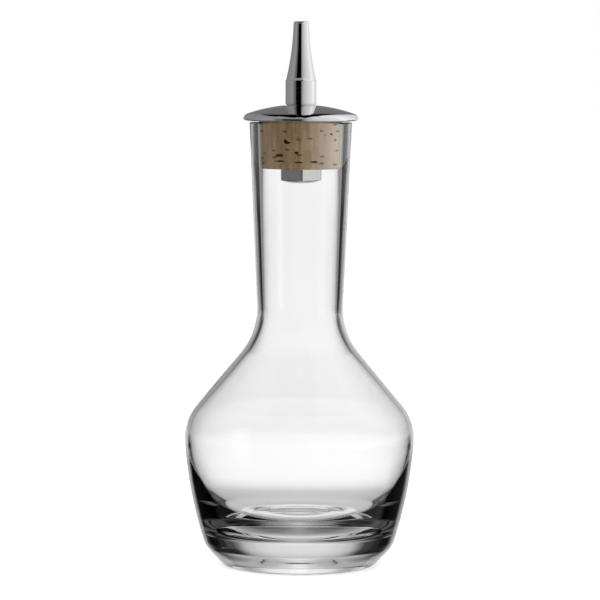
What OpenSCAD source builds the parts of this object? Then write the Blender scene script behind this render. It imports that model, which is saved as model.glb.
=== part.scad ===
// Bitters bottle: a bell-bodied glass bottle with a long flared neck, closed by
// a cork stopper that carries a domed metal cap and a narrow dasher spout.
// Millimetres, +Z up, origin on the table under the middle of the base.

/* [Glass, outside] */
// Height of the glass from the table to the rim
bottle_h = 122.5; // [118:0.5:128]
// Widest diameter of the body
body_d = 63.4; // [60:0.2:68]
// Height at which the body is widest
body_widest_z = 35.1; // [33:0.1:38]
// Radius of the outward bow of the lower wall
body_bow = 116; // [100:1:160]
// How far the lower wall leans in where the shoulder hands over to it, in degrees
wall_lean = 4; // [1:0.5:6]
// Radius of the round shoulder above the widest line
shoulder_round = 14.3; // [12:0.1:17]
// Diameter of the neck at its waist
waist_d = 23.7; // [22:0.1:26]
// Height of the waist, where the neck is narrowest
waist_z = 71.2; // [69:0.1:75]
// Radius of the hollow curve from the shoulder up into the neck
neck_round = 19.6; // [17:0.1:22]
// Diameter of the neck at the rim
rim_d = 28.2; // [27.4:0.1:30]
// Radius that softens the outer edge of the rim
rim_round = 0.5; // [0.3:0.1:1]
// Radius that softens the inner edge of the rim
lip_round = 0.4; // [0.2:0.1:0.8]
// How far the standing ring lies inside the wall's line, where that meets the table
foot_inset = 3.9; // [3.4:0.1:6]
// Small radius where the standing ring turns up
foot_round = 1.6; // [1:0.1:2.2]
// Slope of the heel's facing, in degrees
heel_slope = 44; // [40:1:50]
// Length of the facing between the standing ring and the heel's round
heel_facing = 4.9; // [3:0.1:5.2]

/* [Glass, inside] */
// Thickness of the wall at the rim
rim_wall = 2.55; // [2:0.05:3.2]
// Thickness of the wall at the waist of the neck
neck_wall = 1.9; // [1.4:0.1:2.6]
// How much tighter the neck's inner curve is than its outside, which thins the wall below
neck_thinning = 2; // [0:0.1:3]
// Thickness of the wall round the shoulder
body_wall = 1.3; // [1:0.1:2.4]
// Radius of the lower wall's inside, which draws in towards the base
inner_bow = 42; // [38:1:60]
// Radius of the groove where that wall turns into the floor
bowl_round = 17; // [12:0.5:19]
// Thickness of the solid glass base at its middle
base_t = 11.1; // [10:0.1:13]
// Radius of the low dome in the middle of the floor
floor_dome = 30; // [24:1:40]
// Width of the flat ring that the bottle stands on
ring_w = 3.6; // [2:0.1:6]
// Depth of the shallow hollow inside that ring
punt_h = 1; // [0.4:0.1:1.6]

/* [Cork] */
// Length of cork inside the neck
cork_l = 12.8; // [10:0.1:18]
// Edge bevel on the cork's lower end
cork_bevel = 0.3; // [0.1:0.1:0.8]
// Radial gap between the cork and the bore
cork_fit = 0.08; // [0.02:0.01:0.1]

/* [Cap] */
// Diameter of the domed cap
cap_d = 31.7; // [30:0.1:36]
// Height of the upright edge of the cap under its round
cap_edge_h = 0.36; // [0.3:0.02:1]
// Radius of the dome
cap_dome = 45; // [38:1:60]
// Radius of the cap's upper edge
cap_edge_round = 1.7; // [1.2:0.1:2]
// Radius of the cap's lower edge
cap_lip_round = 0.25; // [0.1:0.05:0.3]
// Gap between the rim and the cap
cap_gap = 0.3; // [0.2:0.1:1]

/* [Spout] */
// Height of the spout above the cap
spout_l = 23; // [18:0.5:28]
// Diameter of the spout's straight barrel
barrel_d = 8.54; // [8:0.02:9]
// Height of the straight barrel
barrel_l = 6.9; // [5.5:0.1:9]
// Bevel round the foot of the barrel
barrel_bevel = 0.4; // [0.2:0.1:0.6]
// Diameter of the taper where it leaves the barrel
taper_d = 8.3; // [7.8:0.1:8.5]
// Diameter of the spout at its tip
tip_d = 4.3; // [3.8:0.1:4.8]
// Radius round the tip
tip_round = 0.7; // [0.4:0.1:0.9]
// How far the taper is hollowed from a straight cone
taper_hollow = 0.42; // [0.2:0.02:0.6]
// Diameter of the dash hole in the tip
dash_hole_d = 1.4; // [0.8:0.1:2]
// Length of the dash hole
dash_hole_l = 2.5; // [1.5:0.1:4]

/* [Stem] */
// Outer diameter of the threaded stem
stem_d = 6; // [5:0.5:6.5]
// Diameter of the pouring channel through stem and spout
channel_d = 2.4; // [1.6:0.1:2.6]
// Length of stem screwed into the spout
stem_grip = 6; // [4:0.5:7]
// Room left above the stem in the spout's socket
socket_room = 0.4; // [0.2:0.1:1]
// Radial gap where the stem is screwed in
thread_fit = 0.05; // [0.02:0.01:0.1]
// Radial gap round the stem in the cap and the cork
stem_clear = 0.15; // [0.05:0.05:0.4]

/* [Retaining nut] */
// Size of the nut across its flats
nut_flats = 10.8; // [9:0.1:13]
// Height of the nut
nut_h = 4.15; // [3:0.05:6]
// Height of the cone that takes the lower corners off
nut_cone_h = 0.8; // [0.4:0.05:1.2]
// Diameter of the flat ring left under the nut
nut_land_d = 7.2; // [6.8:0.1:8.6]
// How far the nut is turned, in degrees
nut_turn = 4; // [-30:1:30]
// How far the stem stops short of the nut's lower face
stem_recess = 0.3; // [0:0.1:1]

/* [Hidden] */
$fn = 96;

// Straight pieces in an arc, where it isn't given its own count
arc_steps = 14;
// Cutters reach this far past what they cut
over = 1;

body_r = body_d / 2;
waist_r = waist_d / 2;
mouth_r = rim_d / 2 - rim_wall;
waist_bore_r = waist_r - neck_wall;
cap_r = cap_d / 2;

// Middles of the arcs in the glass, each as [radius from the axis, height]
shoulder_mid = [body_r - shoulder_round, body_widest_z];
bow_mid = shoulder_mid - (body_bow - shoulder_round) * [cos(wall_lean), -sin(wall_lean)];
neck_mid = [waist_r + neck_round, waist_z];

// The standing ring's outer and inner edge
foot_r = bow_mid[0] + sqrt(pow(body_bow, 2) - pow(bow_mid[1], 2)) - foot_inset;
punt_r = foot_r - ring_w;

// The heel: the facing's outward normal, its ends, and the round that meets the wall
heel_normal = [cos(heel_slope), -sin(heel_slope)];
foot_mid = [foot_r, foot_round];
facing_end = foot_mid + foot_round * heel_normal
    + heel_facing * [sin(heel_slope), cos(heel_slope)];
facing_reach = facing_end - bow_mid;
heel_round = (pow(body_bow, 2) - facing_reach * facing_reach)
    / 2 / (body_bow - heel_normal * facing_reach);
heel_mid = facing_end - heel_round * heel_normal;

// Stations of the stopper, from the cap down and up
cap_z = bottle_h + cap_gap;
cork_low_z = bottle_h - cork_l;
nut_low_z = cork_low_z - nut_h;
stem_low_z = nut_low_z + stem_recess;
spout_land_r = barrel_d / 2 + barrel_bevel;
cap_edge_mid = [cap_r - cap_edge_round, cap_z + cap_edge_h];
dome_mid = [0, cap_edge_mid[1]
    - sqrt(pow(cap_dome - cap_edge_round, 2) - pow(cap_edge_mid[0], 2))];
spout_z = dome_mid[1] + sqrt(pow(cap_dome, 2) - pow(spout_land_r, 2));
stem_top_z = spout_z + stem_grip;
tip_z = spout_z + spout_l;

// Points of an arc from one bearing to another, both in degrees
function arc(mid, r, from, to, steps = arc_steps) =
    [for (i = [0:steps]) let (a = from + (to - from) * i / steps)
        mid + r * [cos(a), sin(a)]];

// Bearing of the straight line that leaves a bulging arc and runs on into a hollow one
function shared_bearing(low_mid, low_r, high_mid, high_r) =
    let (gap = high_mid - low_mid)
        atan2(gap[1], gap[0]) - acos((low_r + high_r) / norm(gap));

// Bearing from one arc's middle to another's
function bearing(from, to) = atan2(to[1] - from[1], to[0] - from[0]);

// Radius of the tapered bore at a height in the neck
function bore_r(z) =
    waist_bore_r + (mouth_r - waist_bore_r) * (z - waist_z) / (bottle_h - waist_z);

// Outside of the glass, from the standing ring up to the rim
function glass_outside() =
    let (lean = shared_bearing(shoulder_mid, shoulder_round, neck_mid, neck_round),
        heel_end = bearing(bow_mid, heel_mid))
    concat(
        arc(foot_mid, foot_round, -90, -heel_slope, 6),
        arc(heel_mid, heel_round, -heel_slope, heel_end),
        arc(bow_mid, body_bow, heel_end, -wall_lean),
        arc(shoulder_mid, shoulder_round, -wall_lean, lean),
        arc(neck_mid, neck_round, 180 + lean, 180),
        arc([rim_d / 2 - rim_round, bottle_h - rim_round], rim_round, 0, 90, 8));

// Point at given distances from two others, on the side away from the axis
function touching_mid(low, low_reach, high, high_reach) =
    let (gap = low - high,
        along = (pow(high_reach, 2) - pow(low_reach, 2) + gap * gap) / 2 / norm(gap),
        aside = sqrt(pow(high_reach, 2) - pow(along, 2)),
        unit = gap / norm(gap))
    high + along * unit + aside * [-unit[1], unit[0]];

// Inside of the glass, from the rim down to the middle of the floor
function glass_inside() =
    let (shoulder_r = shoulder_round - body_wall,
        neck_r = neck_round + neck_wall - neck_thinning,
        bend_mid = [waist_bore_r + neck_r, waist_z],
        lean = shared_bearing(shoulder_mid, shoulder_r, bend_mid, neck_r),
        wall_mid = shoulder_mid
            + (shoulder_r - inner_bow) * [cos(wall_lean), -sin(wall_lean)],
        dome_mid = [0, base_t - floor_dome],
        bowl_mid = touching_mid(dome_mid, floor_dome + bowl_round,
            wall_mid, inner_bow - bowl_round),
        wall_end = bearing(wall_mid, bowl_mid),
        bowl_end = bearing(bowl_mid, dome_mid))
    concat(
        arc([mouth_r + lip_round, bottle_h - lip_round], lip_round, 90, 180, 6),
        arc(bend_mid, neck_r, 180, 180 + lean),
        arc(shoulder_mid, shoulder_r, lean, -wall_lean),
        arc(wall_mid, inner_bow, -wall_lean, wall_end, 10),
        arc(bowl_mid, bowl_round, wall_end, bowl_end),
        arc(dome_mid, floor_dome, bowl_end + 180, 90, 8));

// Shallow dome under the base, from the axis out to the standing ring
function punt() =
    let (r = (pow(punt_r, 2) + pow(punt_h, 2)) / 2 / punt_h,
        half = asin(punt_r / r))
    arc([0, punt_h - r], r, 90, 90 - half, 8);

// Blown glass shell, open at the mouth, heavy in the base
module bottle() {
    color("aliceblue", 0.35)
        rotate_extrude()
            polygon(concat(punt(), glass_outside(), glass_inside()));
}

// Tapered cork, bored for the stem, that fills the top of the neck
module cork() {
    top_r = bore_r(bottle_h) - cork_fit;
    low_r = bore_r(cork_low_z) - cork_fit;
    hole_r = stem_d / 2 + stem_clear;
    color("peru")
        rotate_extrude()
            polygon([
                [hole_r, cork_low_z],
                [low_r - cork_bevel, cork_low_z],
                [low_r, cork_low_z + cork_bevel],
                [top_r, bottle_h],
                [top_r, cap_z],
                [hole_r, cap_z]]);
}

// Domed disc that covers the rim, with a flat land for the spout
module cap() {
    lip_mid = [cap_r - cap_lip_round, cap_z + cap_lip_round];
    dome_end = bearing(dome_mid, cap_edge_mid);
    hole_r = stem_d / 2 + stem_clear;
    color("silver")
        rotate_extrude()
            polygon(concat(
                [[hole_r, cap_z]],
                arc(lip_mid, cap_lip_round, -90, 0, 4),
                arc(cap_edge_mid, cap_edge_round, 0, dome_end, 10),
                arc(dome_mid, cap_dome, dome_end, acos(spout_land_r / cap_dome), 12),
                [[hole_r, spout_z]]));
}

// Outside of the spout, from its foot to the edge of the tip
function spout_outside() =
    let (barrel_r = barrel_d / 2,
        low = [taper_d / 2, spout_z + barrel_l],
        high = [tip_d / 2, tip_z - tip_round],
        chord = high - low,
        // radius of the circle through both ends, hollowed by taper_hollow
        r = (pow(norm(chord) / 2, 2) + pow(taper_hollow, 2)) / 2 / taper_hollow,
        outward = [chord[1], -chord[0]] / norm(chord),
        mid = (low + high) / 2 + (r - taper_hollow) * outward,
        low_angle = bearing(mid, low),
        high_angle = bearing(mid, high),
        // both bearings point back at the axis, so they are taken the short way round
        low_turn = low_angle < 0 ? low_angle + 360 : low_angle,
        high_turn = high_angle < 0 ? high_angle + 360 : high_angle)
    concat(
        [[barrel_r - barrel_bevel, spout_z], [barrel_r, spout_z + barrel_bevel],
            [barrel_r, spout_z + barrel_l - (barrel_d - taper_d) / 2]],
        arc(mid, r, low_turn, high_turn),
        arc([tip_d / 2 - tip_round, tip_z - tip_round], tip_round, 15, 90, 6));

// Dasher spout: a socket for the stem, a pouring channel and a fine hole in the tip
module spout() {
    socket_r = stem_d / 2 + thread_fit;
    channel_r = channel_d / 2;
    dash_r = dash_hole_d / 2;
    socket_top_z = stem_top_z + socket_room;
    // the drill leaves a cone where the channel narrows to the dash hole
    cone_top_z = tip_z - dash_hole_l;
    color("gainsboro")
        rotate_extrude()
            polygon(concat(
                [[socket_r, spout_z]],
                spout_outside(),
                [[dash_r, tip_z],
                    [dash_r, cone_top_z],
                    [channel_r, cone_top_z - (channel_r - dash_r)],
                    [channel_r, socket_top_z],
                    [socket_r, socket_top_z]]));
}

// Threaded tube that ties spout, cap, cork and nut together
module stem() {
    color("silver")
        translate([0, 0, stem_low_z])
            difference() {
                cylinder(h = stem_top_z - stem_low_z, d = stem_d);
                translate([0, 0, -over])
                    cylinder(h = stem_top_z - stem_low_z + 2 * over, d = channel_d);
            }
}

// Hexagonal nut under the cork, its lower corners turned off to a flat ring
module retaining_nut() {
    corner_d = nut_flats / cos(30);
    color("lightgray")
        translate([0, 0, nut_low_z])
            difference() {
                intersection() {
                    rotate([0, 0, nut_turn - 90])
                        cylinder(h = nut_h, d = corner_d, $fn = 6);
                    union() {
                        cylinder(h = nut_cone_h, d1 = nut_land_d, d2 = corner_d);
                        translate([0, 0, nut_cone_h])
                            cylinder(h = nut_h - nut_cone_h, d = corner_d);
                    }
                }
                translate([0, 0, -over])
                    cylinder(h = nut_h + 2 * over, r = stem_d / 2 + thread_fit);
            }
}

bottle();
cork();
cap();
spout();
stem();
retaining_nut();
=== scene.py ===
import math

import bmesh
import bpy
from mathutils import Matrix, Vector, noise


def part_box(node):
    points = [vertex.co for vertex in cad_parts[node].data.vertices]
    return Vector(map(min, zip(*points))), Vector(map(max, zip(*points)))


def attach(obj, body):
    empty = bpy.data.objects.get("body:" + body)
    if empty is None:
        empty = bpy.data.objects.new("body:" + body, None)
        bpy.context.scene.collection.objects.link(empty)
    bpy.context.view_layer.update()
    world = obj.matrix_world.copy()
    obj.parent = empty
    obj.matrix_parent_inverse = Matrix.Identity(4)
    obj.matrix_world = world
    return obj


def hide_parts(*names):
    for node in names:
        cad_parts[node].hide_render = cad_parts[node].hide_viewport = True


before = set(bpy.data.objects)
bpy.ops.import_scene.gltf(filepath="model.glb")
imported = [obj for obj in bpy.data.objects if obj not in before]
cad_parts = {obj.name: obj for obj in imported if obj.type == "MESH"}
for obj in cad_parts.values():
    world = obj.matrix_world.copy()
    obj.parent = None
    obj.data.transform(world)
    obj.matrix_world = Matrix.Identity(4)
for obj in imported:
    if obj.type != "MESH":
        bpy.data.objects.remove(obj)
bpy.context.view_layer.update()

MM = 0.001
AROUND = 192  # steps in a full turn of a large turned piece
SHARP = math.radians(32)  # an edge that bends more than this stays crisp

# Heights that the frame gives, in millimetres
RIM_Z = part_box("bottle")[1].z / MM
CAP_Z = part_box("cap")[0].z / MM
SPOUT_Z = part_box("spout")[0].z / MM
TIP_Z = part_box("spout")[1].z / MM
CORK_LOW_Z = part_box("cork")[0].z / MM
NUT_LOW_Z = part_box("retaining_nut")[0].z / MM
STEM_LOW_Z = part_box("stem")[0].z / MM
STEM_TOP_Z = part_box("stem")[1].z / MM
BODY_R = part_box("bottle")[1].x / MM
CAP_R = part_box("cap")[1].x / MM
BARREL_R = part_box("spout")[1].x / MM
STEM_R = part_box("stem")[1].x / MM

# The glass, in millimetres and degrees
BODY_WIDEST_Z = 35.1
BODY_BOW = 116.0
WALL_LEAN = 4.0
SHOULDER_ROUND = 14.3
WAIST_R = 11.85
WAIST_Z = 71.2
NECK_ROUND = 19.6
RIM_R = 14.1
RIM_ROUND = 0.5
LIP_ROUND = 0.4
FOOT_INSET = 3.9
FOOT_ROUND = 1.6
HEEL_SLOPE = 44.0
HEEL_FACING = 4.9
RIM_WALL = 2.55
NECK_WALL = 1.9
NECK_THINNING = 2.0
BODY_WALL = 1.3
INNER_BOW = 42.0
BOWL_ROUND = 17.0
BASE_T = 11.1
FLOOR_DOME = 30.0
RING_W = 3.6
PUNT_H = 1.0

# The stopper, in millimetres and degrees
CORK_FIT = 0.08
CORK_BEVEL = 0.3
CAP_EDGE_H = 0.36
CAP_DOME = 45.0
CAP_EDGE_ROUND = 1.7
CAP_LIP_ROUND = 0.25
BARREL_L = 6.9
BARREL_BEVEL = 0.4
TAPER_R = 4.15
TIP_R = 2.15
TIP_ROUND = 0.7
TAPER_HOLLOW = 0.42
DASH_HOLE_R = 0.7
DASH_HOLE_L = 2.5
CHANNEL_R = 1.2
SOCKET_ROOM = 0.4
THREAD_FIT = 0.05
STEM_CLEAR = 0.15
SEAM_UP = 0.65  # the fine turned line round the foot of the spout
SEAM_DEPTH = 0.05
THREAD_PITCH = 1.0
THREAD_DEPTH = 0.5
LEAD_IN = 0.5
NUT_FLATS = 10.8
NUT_CORNER = 0.3
NUT_CONE_H = 0.8
NUT_LAND_R = 3.6
NUT_TURN = 4.0
# how much darker the nut's lower cone is painted: a painted dark reflection
CONE_PAINTED_DARK = 0.35

# Dark pores on the front of the cork: (across, height, half width, half height) in mm
CORK_PORES = (
    (-3.9, 117.4, 0.4, 0.6), (-3.3, 117.0, 0.65, 0.35), (-5.4, 113.5, 1, 0.42),
    (-1.1, 114.3, 0.55, 0.33), (-5.4, 112.0, 1.4, 0.22), (-0.5, 111.7, 1.1, 0.2),
    (3.4, 111.8, 1, 0.26), (-10.2, 112.1, 0.5, 0.25), (-10.6, 117.2, 0.45, 0.3),
    (-9.7, 120.1, 0.32, 0.25), (7.7, 119.3, 0.36, 0.22), (8.6, 121.9, 0.45, 0.18),
)

CORK_LIGHT = (0.6, 0.41, 0.23)
CORK_DARK = (0.33, 0.2, 0.1)
CORK_PAINTED_GLARE = (0.62, 0.56, 0.49)  # painted glare: a paler grey toward its right side in place of light on the glass, from and to these mm from the middle
CORK_GLARE_FROM = 1.0
CORK_GLARE_TO = 12.0
CORK_PORE = (0.025, 0.016, 0.01)

# The light tent. Stops are (degrees, brightness); turns count from the back panel, and
# for the mirrors from the camera's side, to the right. The back panel's edge lies at 25.
PANEL_AROUND = (
    (-45, 0.03), (-36, 0.02), (-31, 0.05), (-27, 0.28), (-25, 0.45), (-22, 0.68), (-19, 0.78),
    (-15, 0.88), (-10, 0.97), (0, 1), (10, 0.97), (15, 0.88), (19, 0.78), (22, 0.68),
    (25, 0.45), (27, 0.28), (31, 0.05), (36, 0.02), (45, 0.03),
)
PANEL_EDGE = 25.0
PANEL_WIDTH = (
    (-90, 30), (-28, 30), (-20, 24), (-12, 21), (-10.5, 19), (-9.3, 15.5), (-8.3, 19), (-7, 25),
    (-5, 27), (-3, 32), (-1, 33), (1, 29), (5, 28), (8, 30), (11, 27), (14, 25), (20, 21.5),
    (25, 24), (32, 27), (36, 32), (90, 32),
)
PANEL_UP = (
    (-90, 0.43), (-50, 0.43), (-44, 0.6), (-34, 0.7), (-28, 0.95), (-22, 1.1), (-8, 1.13),
    (-6.5, 1.08), (-5.4, 0.99), (-4.4, 1.03), (-2.5, 1.06), (1, 1.08), (5, 0.95), (10, 0.77), (15, 0.68),
    (20, 0.52), (25.5, 0.55), (28, 0.97), (31, 0.95), (34.5, 0.6), (38, 0.7), (46, 0.9), (60, 0.75),
    (90, 0.5),
)
SIDE_UP = ((-90, 1), (0, 1), (5, 0.35), (30, 0.35))
DEEP_AROUND = (
    (-45, 0.02), (-36, 0.02), (-30, 0.1), (-26, 0.28), (-21, 0.42), (-14, 0.45), (-9, 0.58),
    (-4, 0.7), (0, 0.74), (4, 0.7), (9, 0.58), (14, 0.45), (21, 0.42), (26, 0.28), (30, 0.1),
    (36, 0.02), (45, 0.02),
)
DEEP_SIDES = 0.15  # the side panels too are weaker for light that turned inside the glass
BESIDE = ((0, 0), (44, 0), (49, 0.3), (57, 0.42), (63, 0), (180, 0))
BESIDE_UP = ((-90, 0), (-13, 0), (-11, 1), (2, 1), (6, 0), (90, 0))
DIM_AGAIN = ((-90, 0), (-14, 0), (-12, 0.9), (-4, 0.9), (-2, 0), (90, 0))
NUT_LIGHTS = (
    (-180, 0), (-140, 0), (-136, 0.19), (-120, 0.19), (-116, 0), (100, 0), (104, 0.8), (122, 0.8),
    (126, 0), (180, 0),
)
NUT_LIGHTS_UP = ((-90, 0), (-12, 0), (-9, 1), (3, 1), (6, 0), (90, 0))
GAP_UP = ((-90, 0), (-15, 0), (-12, 1), (33, 1), (38, 0), (90, 0))
LOW_AROUND = ((0, 1), (10, 0.9), (15, 0.1), (22.5, 0.05))
CORK_LIGHT_AROUND = ((-90, 0.6), (0, 0.6), (15, 1), (60, 2.3), (90, 2.3))
MIRROR_AROUND = (
    (-180, 0.8), (-154, 0.8), (-146, 0.02), (-110, 0.02), (-102, 0.27), (-62, 0.27), (-52, 0.14),
    (-42, 0.12), (-34, 0), (0, 0), (10, 0.33), (26, 0.48), (50, 0.63), (80, 0.76), (104, 0.85),
    (112, 0.05), (143, 0.05), (152, 0.8), (180, 0.85),
)
STRIP_FOOT = -1.6  # the strip and the panels beside it reach from here to the top
STRIP_TOP = 26
STRIP_TOP_AGAIN = 45  # for the spout's own image in the cap
MIRROR_BACK = ((0, 1), (9, 1), (14, 0), (180, 0))
MIRROR_UP = ((-90, 0.8), (0, 0.8), (8, 0.17), (26, 0.14), (60, 0.14), (75, 0.25), (90, 0.25))
MIRROR_BACK_UP = ((-90, 0.25), (-10, 0.22), (10, 0.4), (20, 0.6), (60, 0.8), (90, 0.95))
LENS_FOOT = (
    (-40, 90), (-31, 54), (-26, 49), (-20, 42), (-13, 33), (0, 44), (4, 35), (8, 28), (11.5, 42),
    (14.2, 51), (17, 68), (25, 90),
)
LENS_FOOT_LIFT = 20  # how much higher it starts on the camera's side
MIRROR_ABOVE = ((-90, 0.27), (-10, 0.24), (6, 0.28), (20, 0.6), (90, 0.9))
MIRROR_DARK = ((-90, 0.6), (-22, 0.6), (-14, 0), (-12, 0.5), (-5, 0.5), (-3, 0), (90, 0))
MIRROR_STRENGTH = 1.2
SOFT_LIGHT = 0.8
FLOOR_SIZE = 8.0
FLOOR_Z = -0.0001
FLOOR_PAINT = 0.88
FLOOR_LIFT = 0.35

# The camera of the photograph, in metres, degrees and pixels of a 600 pixel frame
FRAME_PX = 600
FOCAL_PX = 3745.0
CAMERA_DISTANCE = 1.03
CAMERA_HEIGHT = 0.1498
CAMERA_DIP = 4.245
CAMERA_ROLL = 0.26
SENSOR_MM = 36.0


def point(mid, radius, bearing):
    """The point of a circle at a bearing in degrees, as (radius from the axis, height)."""
    angle = math.radians(bearing)
    return Vector((mid[0] + radius * math.cos(angle), mid[1] + radius * math.sin(angle)))


def arc(mid, radius, start, end, steps=24):
    """Points of an arc from one bearing to another, both in degrees."""
    return [point(mid, radius, start + (end - start) * i / steps) for i in range(steps + 1)]


def bearing(start, end):
    """Bearing from one point to another, in degrees."""
    return math.degrees(math.atan2(end[1] - start[1], end[0] - start[0]))


def shared_bearing(low_mid, low_r, high_mid, high_r):
    """Bearing at which a straight wall leaves a bulging arc for a hollow one."""
    gap = high_mid - low_mid
    return bearing(low_mid, high_mid) - math.degrees(math.acos((low_r + high_r) / gap.length))


def touching_mid(low_mid, low_reach, high_mid, high_reach):
    """The point at given distances from two others, on the side away from the axis."""
    gap = low_mid - high_mid
    along = (high_reach**2 - low_reach**2 + gap.length_squared) / 2 / gap.length
    aside = math.sqrt(high_reach**2 - along**2)
    unit = gap.normalized()
    return high_mid + along * unit + aside * Vector((-unit[1], unit[0]))


shoulder_mid = Vector((BODY_R - SHOULDER_ROUND, BODY_WIDEST_Z))
bow_mid = point(shoulder_mid, SHOULDER_ROUND - BODY_BOW, -WALL_LEAN)
neck_mid = Vector((WAIST_R + NECK_ROUND, WAIST_Z))
foot_r = bow_mid[0] + math.sqrt(BODY_BOW**2 - bow_mid[1] ** 2) - FOOT_INSET
mouth_r = RIM_R - RIM_WALL
waist_bore_r = WAIST_R - NECK_WALL


def bore_r(z):
    """Radius of the tapered bore of the neck at a height."""
    return waist_bore_r + (mouth_r - waist_bore_r) * (z - WAIST_Z) / (RIM_Z - WAIST_Z)


def glass_outside():
    """Outline of the glass from the standing ring up to the rim."""
    foot_mid = Vector((foot_r, FOOT_ROUND))
    normal = point((0, 0), 1, -HEEL_SLOPE)
    facing_end = foot_mid + FOOT_ROUND * normal + HEEL_FACING * point((0, 0), 1, 90 - HEEL_SLOPE)
    reach = facing_end - bow_mid
    heel_round = (BODY_BOW**2 - reach.length_squared) / 2 / (BODY_BOW - normal.dot(reach))
    heel_mid = facing_end - heel_round * normal
    heel_end = bearing(bow_mid, heel_mid)
    lean = shared_bearing(shoulder_mid, SHOULDER_ROUND, neck_mid, NECK_ROUND)
    rim_mid = (RIM_R - RIM_ROUND, RIM_Z - RIM_ROUND)
    return (
        arc(foot_mid, FOOT_ROUND, -90, -HEEL_SLOPE, 8)
        + arc(heel_mid, heel_round, -HEEL_SLOPE, heel_end, 20)
        + arc(bow_mid, BODY_BOW, heel_end, -WALL_LEAN, 20)
        + arc(shoulder_mid, SHOULDER_ROUND, -WALL_LEAN, lean)
        + arc(neck_mid, NECK_ROUND, 180 + lean, 180)
        + arc(rim_mid, RIM_ROUND, 0, 90, 10)
    )


def glass_inside():
    """Outline of the glass from the rim down to the middle of the floor."""
    neck_r = NECK_ROUND + NECK_WALL - NECK_THINNING
    bend_mid = Vector((waist_bore_r + neck_r, WAIST_Z))
    shoulder_r = SHOULDER_ROUND - BODY_WALL
    lean = shared_bearing(shoulder_mid, shoulder_r, bend_mid, neck_r)
    wall_mid = point(shoulder_mid, shoulder_r - INNER_BOW, -WALL_LEAN)
    dome_mid = Vector((0, BASE_T - FLOOR_DOME))
    bowl_mid = touching_mid(dome_mid, FLOOR_DOME + BOWL_ROUND, wall_mid, INNER_BOW - BOWL_ROUND)
    wall_end = bearing(wall_mid, bowl_mid)
    bowl_end = bearing(bowl_mid, dome_mid)
    return (
        arc((mouth_r + LIP_ROUND, RIM_Z - LIP_ROUND), LIP_ROUND, 90, 180, 8)
        + arc(bend_mid, neck_r, 180, 180 + lean)
        + arc(shoulder_mid, shoulder_r, lean, -WALL_LEAN)
        + arc(wall_mid, INNER_BOW, -WALL_LEAN, wall_end)
        + arc(bowl_mid, BOWL_ROUND, wall_end, bowl_end)
        + arc(dome_mid, FLOOR_DOME, bowl_end + 180, 90)
    )


def punt():
    """Outline of the shallow hollow under the base, from the axis to the standing ring."""
    punt_r = foot_r - RING_W
    radius = (punt_r**2 + PUNT_H**2) / 2 / PUNT_H
    half = math.degrees(math.asin(punt_r / radius))
    return arc((0, PUNT_H - radius), radius, 90, 90 - half, 12)


def finish_mesh(bm, name):
    """Turns a bmesh into an object with outward faces, smooth but for its crisp edges."""
    bmesh.ops.remove_doubles(bm, verts=bm.verts, dist=1e-7)
    bmesh.ops.recalc_face_normals(bm, faces=bm.faces)
    for face in bm.faces:
        face.smooth = True
    for edge in bm.edges:
        edge.smooth = edge.calc_face_angle(0) < SHARP
    mesh = bpy.data.meshes.new(name)
    bm.to_mesh(mesh)
    bm.free()
    piece = bpy.data.objects.new(name, mesh)
    bpy.context.scene.collection.objects.link(piece)
    return piece


def turn(bm, outline, closed, steps=AROUND):
    """Spins an outline of (radius, height) in millimetres about the bottle's axis."""
    verts = [bm.verts.new((p[0] * MM, 0, p[1] * MM)) for p in outline]
    edges = [bm.edges.new(pair) for pair in zip(verts, verts[1:])]
    if closed:
        edges.append(bm.edges.new((verts[-1], verts[0])))
    bmesh.ops.spin(bm, geom=verts + edges, cent=(0, 0, 0), axis=(0, 0, 1), angle=math.tau,
                   steps=steps, use_merge=True)


def turned_piece(name, outline, closed=True, steps=AROUND):
    """A closed piece turned from its outline."""
    bm = bmesh.new()
    turn(bm, outline, closed, steps)
    return finish_mesh(bm, name)


def blown_glass():
    """The bottle's shell: its two ends lie on the axis, so it closes by itself."""
    outline = punt() + glass_outside() + glass_inside()
    return turned_piece("blown_glass", outline, closed=False, steps=256)


def cork_plug():
    """The tapered cork with its bore for the stem."""
    hole_r = STEM_R + STEM_CLEAR
    low_r = bore_r(CORK_LOW_Z) - CORK_FIT
    top_r = bore_r(RIM_Z) - CORK_FIT
    outline = [
        (hole_r, CORK_LOW_Z), (low_r - CORK_BEVEL, CORK_LOW_Z),
        (low_r, CORK_LOW_Z + CORK_BEVEL), (top_r, RIM_Z), (top_r, CAP_Z), (hole_r, CAP_Z),
    ]
    return turned_piece("cork_plug", outline)


def domed_cap():
    """The cap: a dome that rolls over into an upright edge, with a land for the spout."""
    land_r = BARREL_R + BARREL_BEVEL
    hole_r = STEM_R + STEM_CLEAR
    edge_mid = Vector((CAP_R - CAP_EDGE_ROUND, CAP_Z + CAP_EDGE_H))
    drop = math.sqrt((CAP_DOME - CAP_EDGE_ROUND) ** 2 - edge_mid[0] ** 2)
    dome_mid = Vector((0, edge_mid[1] - drop))
    dome_end = bearing(dome_mid, edge_mid)
    land = math.degrees(math.acos(land_r / CAP_DOME))
    outline = (
        [Vector((hole_r, CAP_Z))]
        + arc((CAP_R - CAP_LIP_ROUND, CAP_Z + CAP_LIP_ROUND), CAP_LIP_ROUND, -90, 0, 6)
        + arc(edge_mid, CAP_EDGE_ROUND, 0, dome_end, 20)
        + arc(dome_mid, CAP_DOME, dome_end, land, 20)
        + [Vector((hole_r, SPOUT_Z))]
    )
    return turned_piece("domed_cap", outline)


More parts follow.
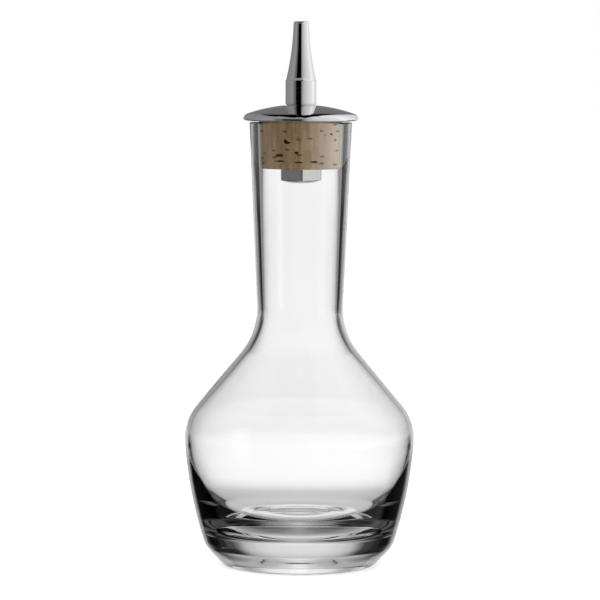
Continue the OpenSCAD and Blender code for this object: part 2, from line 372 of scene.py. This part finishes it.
def dasher_spout():
    """The spout: straight barrel, hollowed taper, rounded tip and the pouring channel."""
    seam_z = SPOUT_Z + SEAM_UP
    low = Vector((TAPER_R, SPOUT_Z + BARREL_L))
    high = Vector((TIP_R, TIP_Z - TIP_ROUND))
    chord = high - low
    radius = (chord.length_squared / 4 + TAPER_HOLLOW**2) / 2 / TAPER_HOLLOW
    outward = Vector((chord[1], -chord[0])).normalized()
    mid = (low + high) / 2 + (radius - TAPER_HOLLOW) * outward
    socket_r = STEM_R + THREAD_FIT
    socket_top = STEM_TOP_Z + SOCKET_ROOM
    cone_top = TIP_Z - DASH_HOLE_L
    outline = (
        [Vector((socket_r, SPOUT_Z)), Vector((BARREL_R - BARREL_BEVEL, SPOUT_Z)),
         Vector((BARREL_R, SPOUT_Z + BARREL_BEVEL)), Vector((BARREL_R, seam_z - SEAM_DEPTH)),
         Vector((BARREL_R - SEAM_DEPTH, seam_z)), Vector((BARREL_R, seam_z + SEAM_DEPTH)),
         Vector((BARREL_R, SPOUT_Z + BARREL_L - (BARREL_R - TAPER_R)))]
        + arc(mid, radius, bearing(mid, low) % 360, bearing(mid, high) % 360)
        + arc((TIP_R - TIP_ROUND, TIP_Z - TIP_ROUND), TIP_ROUND, 15, 90, 8)
        + [Vector((DASH_HOLE_R, TIP_Z)), Vector((DASH_HOLE_R, cone_top)),
           Vector((CHANNEL_R, cone_top - (CHANNEL_R - DASH_HOLE_R))),
           Vector((CHANNEL_R, socket_top)), Vector((socket_r, socket_top))]
    )
    return turned_piece("dasher_spout", outline, steps=128)


def ring_grid(bm, rows):
    """Joins rows of as many points each, every row a closed loop, into bands of quads."""
    loops = [[bm.verts.new(Vector(p) * MM) for p in row] for row in rows]
    for low, high in zip(loops, loops[1:]):
        for i in range(len(low)):
            bm.faces.new((low[i - 1], low[i], high[i], high[i - 1]))


def round_loop(radius, z, steps):
    """Points of a level circle; the radius may be a function of the turn and the height."""
    turns = [math.tau * i / steps for i in range(steps)]
    reach = radius if callable(radius) else lambda turn, height: radius
    return [(reach(a, z) * math.cos(a), reach(a, z) * math.sin(a), z) for a in turns]


def threaded_stem(steps=64, rows_a_turn=8):
    """The tube that holds the stopper together: a screw thread outside, a channel inside."""
    def thread_r(turn, z):
        phase = (z / THREAD_PITCH - turn / math.tau) % 1
        depth = THREAD_DEPTH * min(1, max(0, abs(phase - 0.5) * 3 - 0.25))
        end = min(z - STEM_LOW_Z, STEM_TOP_Z - z)
        return STEM_R - max(depth, LEAD_IN - end)

    count = round((STEM_TOP_Z - STEM_LOW_Z) / THREAD_PITCH * rows_a_turn)
    heights = [STEM_LOW_Z + (STEM_TOP_Z - STEM_LOW_Z) * i / count for i in range(count + 1)]
    rows = [round_loop(CHANNEL_R, STEM_LOW_Z, steps)]
    rows += [round_loop(thread_r, z, steps) for z in heights]
    rows += [round_loop(CHANNEL_R, STEM_TOP_Z, steps), round_loop(CHANNEL_R, STEM_LOW_Z, steps)]
    bm = bmesh.new()
    ring_grid(bm, rows)
    return finish_mesh(bm, "threaded_stem")


def hex_nut(steps=12):
    """The nut: six flats with softened corners, the lower ones turned off to a flat ring."""
    middle = (NUT_FLATS / 2 - NUT_CORNER) / math.cos(math.pi / 6)
    plan = []
    for corner in range(6):
        turned = math.radians(NUT_TURN - 90 + 60 * corner)
        for i in range(-2, 3):
            a = turned + math.pi / 12 * i
            plan.append(Vector((middle * math.cos(turned) + NUT_CORNER * math.cos(a),
                                middle * math.sin(turned) + NUT_CORNER * math.sin(a))))
        start, ahead = plan[-1], turned + math.pi / 3
        end = Vector((middle * math.cos(ahead) + NUT_CORNER * math.cos(ahead - math.pi / 6),
                      middle * math.sin(ahead) + NUT_CORNER * math.sin(ahead - math.pi / 6)))
        plan += [start.lerp(end, i / steps) for i in range(1, steps)]
    top_z = CORK_LOW_Z
    corner_r = NUT_FLATS / 2 / math.cos(math.pi / 6)
    bore = STEM_R + THREAD_FIT
    bored = [(*(p.normalized() * bore), NUT_LOW_Z) for p in plan]
    land = [(*(p.normalized() * NUT_LAND_R), NUT_LOW_Z) for p in plan]
    cone = [(*p, NUT_LOW_Z + NUT_CONE_H * (p.length - NUT_LAND_R) / (corner_r - NUT_LAND_R))
            for p in plan]
    edge = [(*p, top_z) for p in plan]
    mouth = [(*(p.normalized() * bore), top_z) for p in plan]
    bm = bmesh.new()
    ring_grid(bm, [bored, land, cone, edge, mouth, bored])
    return finish_mesh(bm, "hex_nut")


def set_or_link(tree, socket, value):
    """Gives a socket a plain value, or the link that feeds it."""
    if isinstance(value, bpy.types.NodeSocket):
        tree.links.new(value, socket)
    else:
        socket.default_value = value


def add_node(tree, kind, **inputs):
    """A new node with the named inputs set or linked."""
    node = tree.nodes.new(kind)
    for name, value in inputs.items():
        set_or_link(tree, node.inputs[name.replace("_", " ")], value)
    return node


def calc(tree, operation, *values):
    """The result of a Math node."""
    node = tree.nodes.new("ShaderNodeMath")
    node.operation = operation
    for socket, value in zip(node.inputs, values):
        set_or_link(tree, socket, value)
    return node.outputs[0]


def grey_ramp(tree, value, stops):
    """Brightness looked up from stops of (value, brightness), straight lines between them."""
    low, high = stops[0][0], stops[-1][0]
    node = tree.nodes.new("ShaderNodeValToRGB")
    tree.links.new(calc(tree, "DIVIDE", calc(tree, "SUBTRACT", value, low), high - low),
                   node.inputs["Fac"])
    ends = node.color_ramp.elements
    places = [ends[0]] + [ends.new(0.5) for _ in stops[1:-1]] + [ends[-1]]
    for i in range(len(places)):
        ends[i].position = (stops[i][0] - low) / (high - low)
        ends[i].color = (stops[i][1],) * 3 + (1,)
    return node.outputs["Color"]


def choose(tree, test, yes, no):
    """One of two grey values, by a test that is 0 or 1 or a share between them."""
    return calc(tree, "ADD", calc(tree, "MULTIPLY", test, yes),
                calc(tree, "MULTIPLY", calc(tree, "SUBTRACT", 1, test), no))


def new_material(name, colour):
    """A node material with one Principled shader of a plain colour."""
    material = bpy.data.materials.new(name)
    material.use_nodes = True
    material.diffuse_color = (*colour, 1)
    shader = material.node_tree.nodes["Principled BSDF"]
    shader.inputs["Base Color"].default_value = (*colour, 1)
    return material, material.node_tree, shader


def object_place(tree):
    """The coordinates of the piece itself, in metres, with its origin on the bottle's axis."""
    return tree.nodes.new("ShaderNodeTexCoord").outputs["Object"]


def stretched(tree, place, scale):
    """Coordinates scaled on each axis, so that a pattern on them is finer or longer there."""
    node = add_node(tree, "ShaderNodeMapping", Vector=place)
    node.inputs["Scale"].default_value = scale
    return node.outputs["Vector"]


def noise_of(tree, place, scale, detail=2.0):
    return add_node(tree, "ShaderNodeTexNoise", Vector=place, Scale=scale,
                    Detail=detail).outputs["Fac"]


def two_colours(tree, share, first, second):
    """A colour between two others, by a share from 0 to 1."""
    node = tree.nodes.new("ShaderNodeMix")
    node.data_type = "RGBA"
    tree.links.new(share, node.inputs["Factor"])
    for socket, value in ((node.inputs["A"], first), (node.inputs["B"], second)):
        set_or_link(tree, socket, (*value, 1) if isinstance(value, tuple) else value)
    return node.outputs["Result"]


def relief(tree, shader, height, depth):
    """A fine relief of that depth in metres on the shader's surface."""
    bump = add_node(tree, "ShaderNodeBump", Height=height, Distance=depth)
    tree.links.new(bump.outputs["Normal"], shader.inputs["Normal"])


def clear_glass():
    """Clear glass, very slightly wavy as blown glass is."""
    material, tree, shader = new_material("clear_glass", (1, 1, 1))
    shader.inputs["Transmission Weight"].default_value = 1
    shader.inputs["Roughness"].default_value = 0
    shader.inputs["IOR"].default_value = 1.5
    waves = noise_of(tree, stretched(tree, object_place(tree), (1, 1, 0.4)), 90, 1)
    relief(tree, shader, waves, 0.00002)
    return material


def turned_steel(name, colour, roughness, ring_scale, ring_depth):
    """Polished metal with the faint rings of turning, and a painted dark reflection on the nut's lower
    cone.
    """
    material, tree, shader = new_material(name, colour)
    shader.inputs["Metallic"].default_value = 1
    place = object_place(tree)
    x, y, z = add_node(tree, "ShaderNodeSeparateXYZ", Vector=place).outputs
    out = calc(tree, "SQRT", calc(tree, "ADD", calc(tree, "MULTIPLY", x, x),
                                  calc(tree, "MULTIPLY", y, y)))
    across = add_node(tree, "ShaderNodeCombineXYZ", X=out, Y=z).outputs[0]
    # Painted dark reflection: a darker base colour below the top of the nut's lower cone
    cone = calc(tree, "LESS_THAN", z, (NUT_LOW_Z + NUT_CONE_H) * MM)
    painted_dark_reflection = tuple(level * CONE_PAINTED_DARK for level in colour)
    tree.links.new(two_colours(tree, cone, colour, painted_dark_reflection), shader.inputs["Base Color"])
    rings = noise_of(tree, across, ring_scale, 3)
    wear = noise_of(tree, place, 300, 3)
    spread = calc(tree, "ADD", rings, wear)
    tree.links.new(calc(tree, "MULTIPLY", spread, roughness), shader.inputs["Roughness"])
    relief(tree, shader, rings, ring_depth)
    return material


def cork_grain():
    """Natural cork: brown streaks down its length, fine specks, and dark pores across."""
    material, tree, shader = new_material("cork_grain", (0.42, 0.28, 0.16))
    place = object_place(tree)
    x, y, z = add_node(tree, "ShaderNodeSeparateXYZ", Vector=place).outputs
    streaks = noise_of(tree, stretched(tree, place, (1, 1, 0.12)), 900, 3)
    blotches = noise_of(tree, stretched(tree, place, (1, 1, 0.6)), 160, 3)
    specks = noise_of(tree, place, 2600, 2)
    mixed = calc(tree, "ADD", calc(tree, "MULTIPLY", streaks, 0.4), calc(
        tree, "ADD", calc(tree, "MULTIPLY", blotches, 0.4), calc(tree, "MULTIPLY", specks, 0.2)))
    share = add_node(tree, "ShaderNodeMapRange", Value=mixed, From_Min=0.38, From_Max=0.62)
    brown = two_colours(tree, share.outputs[0], CORK_DARK, CORK_LIGHT)
    # Painted glare: the colour turns paler grey toward the cork's right side, standing in for light on
    # the glass over it
    pale = add_node(tree, "ShaderNodeMapRange", Value=x, From_Min=CORK_GLARE_FROM * MM,
                    From_Max=CORK_GLARE_TO * MM)
    brown = two_colours(tree, pale.outputs[0], brown, CORK_PAINTED_GLARE)

    # Small pores all round, and the large ones on the front
    cells = tree.nodes.new("ShaderNodeTexVoronoi")
    cells.inputs["Scale"].default_value = 330
    tree.links.new(stretched(tree, place, (1, 1, 2.2)), cells.inputs["Vector"])
    chance = add_node(tree, "ShaderNodeSeparateColor", Color=cells.outputs["Color"]).outputs[0]
    small = calc(tree, "MULTIPLY", calc(tree, "GREATER_THAN", chance, 0.72), calc(
        tree, "LESS_THAN", cells.outputs["Distance"], calc(tree, "MULTIPLY", specks, 0.5)))
    wobble = calc(tree, "MULTIPLY", calc(tree, "SUBTRACT", noise_of(tree, place, 1500, 3), 0.5),
                  2.2)
    pores = calc(tree, "MULTIPLY", small, 0.6)
    for across, height, half_w, half_h in CORK_PORES:
        dx = calc(tree, "DIVIDE", calc(tree, "SUBTRACT", x, across * MM), half_w * MM)
        dz = calc(tree, "DIVIDE", calc(tree, "SUBTRACT", z, height * MM), half_h * MM)
        dz = calc(tree, "ADD", dz, wobble)
        reach = calc(tree, "ADD", calc(tree, "MULTIPLY", dx, dx), calc(tree, "MULTIPLY", dz, dz))
        spot = calc(tree, "MULTIPLY", calc(tree, "LESS_THAN", reach, 1),
                    calc(tree, "LESS_THAN", y, 0))
        pores = calc(tree, "MAXIMUM", pores, spot)
    colour = two_colours(tree, pores, brown, CORK_PORE)
    tree.links.new(colour, shader.inputs["Base Color"])
    shader.inputs["Roughness"].default_value = 0.85
    relief(tree, shader, calc(tree, "SUBTRACT", mixed, pores), 0.00015)
    return material


def studio_world():
    """White behind the bottle; the glass and the metal see the panels of a light tent."""
    world = bpy.data.worlds.new("light_tent")
    bpy.context.scene.world = world
    world.use_nodes = True
    tree = world.node_tree
    way = tree.nodes.new("ShaderNodeTexCoord").outputs["Generated"]
    x, y, z = add_node(tree, "ShaderNodeSeparateXYZ", Vector=way).outputs
    up = calc(tree, "DEGREES", calc(tree, "ARCSINE", z))
    back_turn = calc(tree, "DEGREES", calc(tree, "ARCTAN2", x, y))
    front_turn = calc(tree, "DEGREES", calc(tree, "ARCTAN2", x, calc(tree, "MULTIPLY", y, -1)))

    # Through the glass: a bright panel behind, weaker ones at the sides, dark gaps between
    path = tree.nodes.new("ShaderNodeLightPath").outputs
    turned = calc(tree, "GREATER_THAN", path["Glossy Depth"], 0.5)
    turn_away = calc(tree, "ABSOLUTE", back_turn)
    level = grey_ramp(tree, up, PANEL_UP)
    across = calc(tree, "DIVIDE", calc(tree, "WRAP", back_turn, 45, -45),
                  calc(tree, "DIVIDE", grey_ramp(tree, up, PANEL_WIDTH), PANEL_EDGE))
    beside = calc(tree, "GREATER_THAN", turn_away, 45)
    sides_left = choose(tree, beside, grey_ramp(tree, up, SIDE_UP), 1)
    panel = calc(tree, "MULTIPLY", grey_ramp(tree, across, PANEL_AROUND), sides_left)
    low = grey_ramp(tree, calc(tree, "PINGPONG", turn_away, 22.5), LOW_AROUND)
    low = choose(tree, calc(tree, "LESS_THAN", up, 0), calc(tree, "MAXIMUM", low, calc(
        tree, "LESS_THAN", turn_away, 28)), 1)
    direct = calc(tree, "MULTIPLY", level, choose(tree, grey_ramp(tree, up, GAP_UP), panel, low))
    strips = calc(tree, "MULTIPLY", grey_ramp(tree, turn_away, BESIDE),
                  grey_ramp(tree, up, BESIDE_UP))
    nut_lights = calc(tree, "MULTIPLY", grey_ramp(tree, back_turn, NUT_LIGHTS),
                      grey_ramp(tree, up, NUT_LIGHTS_UP))
    inner = calc(tree, "MULTIPLY", grey_ramp(tree, across, DEEP_AROUND),
                 choose(tree, beside, DEEP_SIDES, 1))
    again = calc(tree, "GREATER_THAN", path["Glossy Depth"], 1.5)
    beside_lights = calc(tree, "MULTIPLY", calc(tree, "MAXIMUM", strips, nut_lights),
                         calc(tree, "SUBTRACT", 1, again))
    deep = calc(tree, "MAXIMUM", calc(tree, "MULTIPLY", level, inner), beside_lights)
    dim = calc(tree, "MULTIPLY", again, grey_ramp(tree, up, DIM_AGAIN))
    deep = calc(tree, "MULTIPLY", deep, calc(tree, "SUBTRACT", 1, dim))
    seen_through = choose(tree, turned, deep, direct)
    lean = calc(tree, "DEGREES", calc(tree, "ARCSINE", x))
    on_cork = grey_ramp(tree, lean, CORK_LIGHT_AROUND)
    seen_through = choose(tree, calc(tree, "GREATER_THAN", path["Diffuse Depth"], 0.5),
                          on_cork, seen_through)

    # In the metal: grey on the left, white on the right, a black strip between them
    above = grey_ramp(tree, lean, MIRROR_ABOVE)
    strip = calc(tree, "MULTIPLY", calc(tree, "GREATER_THAN", up, STRIP_FOOT),
                 calc(tree, "LESS_THAN", up, choose(tree, again, STRIP_TOP_AGAIN, STRIP_TOP)))
    sides = choose(tree, strip, grey_ramp(tree, front_turn, MIRROR_AROUND), above)
    dome = grey_ramp(tree, up, MIRROR_UP)
    behind = choose(tree, calc(tree, "GREATER_THAN", up, STRIP_FOOT),
                    grey_ramp(tree, back_turn, MIRROR_BACK_UP),
                    grey_ramp(tree, front_turn, MIRROR_AROUND))
    at_back = choose(tree, grey_ramp(tree, turn_away, MIRROR_BACK), dome, behind)
    back_half = calc(tree, "LESS_THAN", turn_away, 90)
    foot = calc(tree, "ADD", grey_ramp(tree, lean, LENS_FOOT),
                choose(tree, back_half, 0, LENS_FOOT_LIFT))
    lens = add_node(tree, "ShaderNodeMapRange", Value=calc(tree, "SUBTRACT", up, foot),
                    From_Min=-2, From_Max=3).outputs[0]
    mirrored = calc(tree, "MULTIPLY", choose(tree, back_half, at_back, sides),
                    calc(tree, "SUBTRACT", 1, lens))
    dark = calc(tree, "MULTIPLY", grey_ramp(tree, up, MIRROR_DARK),
                calc(tree, "GREATER_THAN", turn_away, 28))
    mirrored = calc(tree, "MULTIPLY", mirrored, calc(tree, "SUBTRACT", 1, dark))
    mirrored = calc(tree, "MULTIPLY", mirrored, MIRROR_STRENGTH)

    light = choose(tree, path["Is Camera Ray"], 1, SOFT_LIGHT)
    light = choose(tree, path["Is Glossy Ray"], mirrored, light)
    light = choose(tree, path["Is Transmission Ray"], seen_through, light)
    backdrop = tree.nodes["Background"]
    tree.links.new(light, backdrop.inputs["Color"])
    backdrop.inputs["Strength"].default_value = 1


def studio_floor():
    """A pale floor that takes the bottle's shadow; glass and metal see the tent below it."""
    bm = bmesh.new()
    bmesh.ops.create_grid(bm, x_segments=1, y_segments=1, size=FLOOR_SIZE / 2)
    bmesh.ops.translate(bm, verts=bm.verts, vec=(0, 0, FLOOR_Z))
    floor = finish_mesh(bm, "floor")
    material = bpy.data.materials.new("pale_floor")
    material.use_nodes = True
    tree = material.node_tree
    tree.nodes.remove(tree.nodes["Principled BSDF"])
    path = tree.nodes.new("ShaderNodeLightPath").outputs
    paint = add_node(tree, "ShaderNodeBsdfDiffuse", Color=(FLOOR_PAINT,) * 3 + (1,))
    lift = add_node(tree, "ShaderNodeEmission",
                    Strength=calc(tree, "MULTIPLY", path["Is Camera Ray"], FLOOR_LIFT))
    both = tree.nodes.new("ShaderNodeAddShader")
    tree.links.new(paint.outputs[0], both.inputs[0])
    tree.links.new(lift.outputs[0], both.inputs[1])
    see = tree.nodes.new("ShaderNodeMixShader")
    past = calc(tree, "MAXIMUM", path["Is Glossy Ray"], path["Is Transmission Ray"])
    clear = tree.nodes.new("ShaderNodeBsdfTransparent")
    tree.links.new(past, see.inputs[0])
    tree.links.new(both.outputs[0], see.inputs[1])
    tree.links.new(clear.outputs[0], see.inputs[2])
    tree.links.new(see.outputs[0], tree.nodes["Material Output"].inputs["Surface"])
    floor.data.materials.append(material)


def soft_lamp(name, place, size, power):
    """A large area lamp aimed at the middle of the bottle, unseen in its mirrors."""
    data = bpy.data.lights.new(name, "AREA")
    data.shape = "DISK"
    data.size = size
    data.energy = power
    lamp = bpy.data.objects.new(name, data)
    bpy.context.scene.collection.objects.link(lamp)
    lamp.location = place
    aim = Vector((0, 0, RIM_Z * MM / 2)) - lamp.location
    lamp.rotation_euler = aim.to_track_quat("-Z", "Y").to_euler()
    lamp.visible_glossy = False
    lamp.visible_transmission = False


def photo_camera():
    data = bpy.data.cameras.new("photo_camera")
    data.sensor_width = SENSOR_MM
    data.lens = FOCAL_PX / FRAME_PX * SENSOR_MM
    camera = bpy.data.objects.new("photo_camera", data)
    bpy.context.scene.collection.objects.link(camera)
    dip = Matrix.Rotation(math.radians(90 - CAMERA_DIP), 4, "X")
    roll = Matrix.Rotation(math.radians(CAMERA_ROLL), 4, "Z")
    camera.matrix_world = Matrix.Translation((0, -CAMERA_DISTANCE, CAMERA_HEIGHT)) @ dip @ roll
    bpy.context.scene.camera = camera


def dress(piece, slot, node, body):
    """Puts a piece in place of its CAD node, in the look of one of the record's slots."""
    piece.data.materials.append(LOOKS[slot])
    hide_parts(node)
    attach(piece, body)
    return piece


bpy.context.scene.view_settings.view_transform = "Standard"
photo_camera()
studio_world()
studio_floor()
soft_lamp("key_lamp", (-0.5, -0.5, 0.8), 0.6, 4)
soft_lamp("fill_lamp", (0.6, -0.3, 0.6), 0.6, 3)
LOOKS = {
    "clear_glass": clear_glass(),
    "cork_grain": cork_grain(),
    "polished_steel": turned_steel("mirror_steel", (0.8, 0.8, 0.8), 0.03, 2500, 0.0000003),
    "threaded_steel": turned_steel("plain_steel", (0.6, 0.6, 0.6), 0.2, 4000, 0.00001),
}
dress(blown_glass(), "clear_glass", "bottle", "bottle")
dress(cork_plug(), "cork_grain", "cork", "stopper")
dress(domed_cap(), "polished_steel", "cap", "stopper")
dress(dasher_spout(), "polished_steel", "spout", "stopper")
dress(threaded_stem(), "threaded_steel", "stem", "stopper")
dress(hex_nut(), "polished_steel", "retaining_nut", "stopper")
